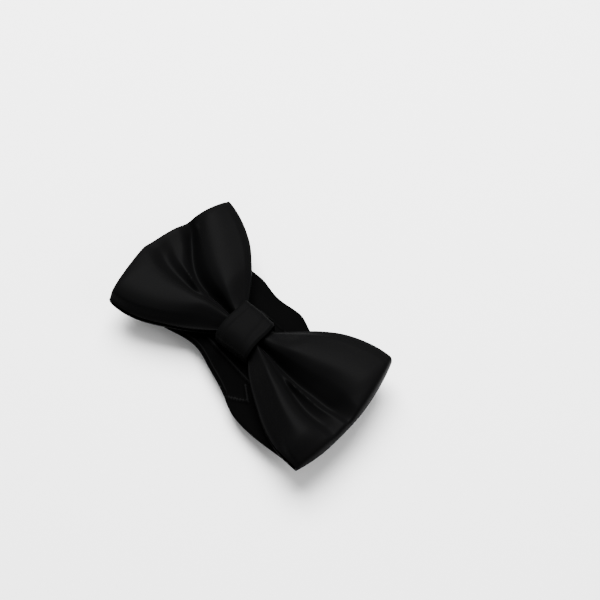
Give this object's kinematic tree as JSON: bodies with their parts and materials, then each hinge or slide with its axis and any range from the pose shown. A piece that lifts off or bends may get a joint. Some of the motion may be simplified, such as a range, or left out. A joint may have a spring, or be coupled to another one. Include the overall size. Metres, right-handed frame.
{
  "type": "bow tie",
  "caption": "Pre-tied double satin bow with a gathered waist and wrapped knot, on a folded adjustable neck band with slide, hook and eye.",
  "frame": {"origin": "centre of the bow, on the surface that it lies on, face up with its neck band folded behind it", "axes": "+X along the bow towards the long, adjustable side of the band; +Y to the bow's upper edge; +Z out of its face"},
  "size_m": [0.122, 0.068, 0.0206],
  "materials": {
    "satin": "black satin weave with a soft sheen",
    "canvas": "off-white non-woven interlining",
    "thread": "black twisted sewing thread",
    "nickel": "nickel-plated pressed steel"
  },
  "bodies": {
    "bow": {"front_bow": "satin", "front_interlining": "canvas", "back_bow": "satin", "back_interlining": "canvas", "waist_thread": "thread", "knot_band": "satin", "knot_interlining": "canvas", "rear_tab": "satin", "rear_tab_stitches": "thread", "neck_band_centre": "satin"},
    "long_run_2": {"long_band_run_2": "satin"},
    "long_run_3": {"long_band_run_3": "satin"},
    "long_run_4": {"long_band_run_4": "satin"},
    "slide": {"slide_sleeve": "satin", "band_slide": "nickel"},
    "hook_loop": {"long_band_loop": "satin"},
    "hook": {"band_hook": "nickel"},
    "short_run_2": {"short_band_run_2": "satin"},
    "short_run_3": {"short_band_run_3": "satin"},
    "short_run_4": {"short_band_run_4": "satin", "eye_bartack": "thread"},
    "eye": {"band_eye": "nickel"}
  },
  "joints": [
    {"name": "long_fold_1", "type": "hinge", "parent": "bow", "child": "long_run_2", "pos_m": [0.0535, 0, 0.00635], "axis": [0, -1, 0], "range_deg": [0, 179.5]},
    {"name": "long_fold_2", "type": "hinge", "parent": "long_run_2", "child": "long_run_3", "pos_m": [0.0115, 0, 0.00515], "axis": [0, -1, 0], "range_deg": [-179.5, 0]},
    {"name": "long_fold_3", "type": "hinge", "parent": "long_run_3", "child": "long_run_4", "pos_m": [0.0535, 0, 0.00355], "axis": [0, -1, 0], "range_deg": [0, 179.5]},
    {"name": "slide_travel", "type": "slide", "parent": "long_run_4", "child": "slide", "axis": [1, 0, 0], "range_m": [0, 0.022]},
    {"name": "hook_travel", "type": "slide", "parent": "slide", "child": "hook_loop", "axis": [1, 0, 0], "range_m": [-0.011, 0], "deforming": ["long_band_loop"]},
    {"name": "hook_swivel", "type": "hinge", "parent": "hook_loop", "child": "hook", "pos_m": [0.017, 0, 0.00147], "axis": [0, -1, 0], "range_deg": [0, 110]},
    {"name": "short_fold_1", "type": "hinge", "parent": "bow", "child": "short_run_2", "pos_m": [-0.0535, 0, 0.00635], "axis": [0, 1, 0], "range_deg": [0, 179.5]},
    {"name": "short_fold_2", "type": "hinge", "parent": "short_run_2", "child": "short_run_3", "pos_m": [-0.0115, 0, 0.00515], "axis": [0, 1, 0], "range_deg": [-179.5, 0]},
    {"name": "short_fold_3", "type": "hinge", "parent": "short_run_3", "child": "short_run_4", "pos_m": [-0.0535, 0, 0.00355], "axis": [0, 1, 0], "range_deg": [0, 179.5]},
    {"name": "eye_swivel", "type": "hinge", "parent": "short_run_4", "child": "eye", "pos_m": [-0.017, 0, 0.00147], "axis": [0, 1, 0], "range_deg": [0, 110]}
  ],
  "couplings": [
    {"joint": "long_fold_2", "follows": "long_fold_1", "ratio": -1},
    {"joint": "long_fold_3", "follows": "long_fold_1", "ratio": 1},
    {"joint": "hook_travel", "follows": "slide_travel", "ratio": -0.5},
    {"joint": "short_fold_2", "follows": "short_fold_1", "ratio": -1},
    {"joint": "short_fold_3", "follows": "short_fold_1", "ratio": 1}
  ]
}
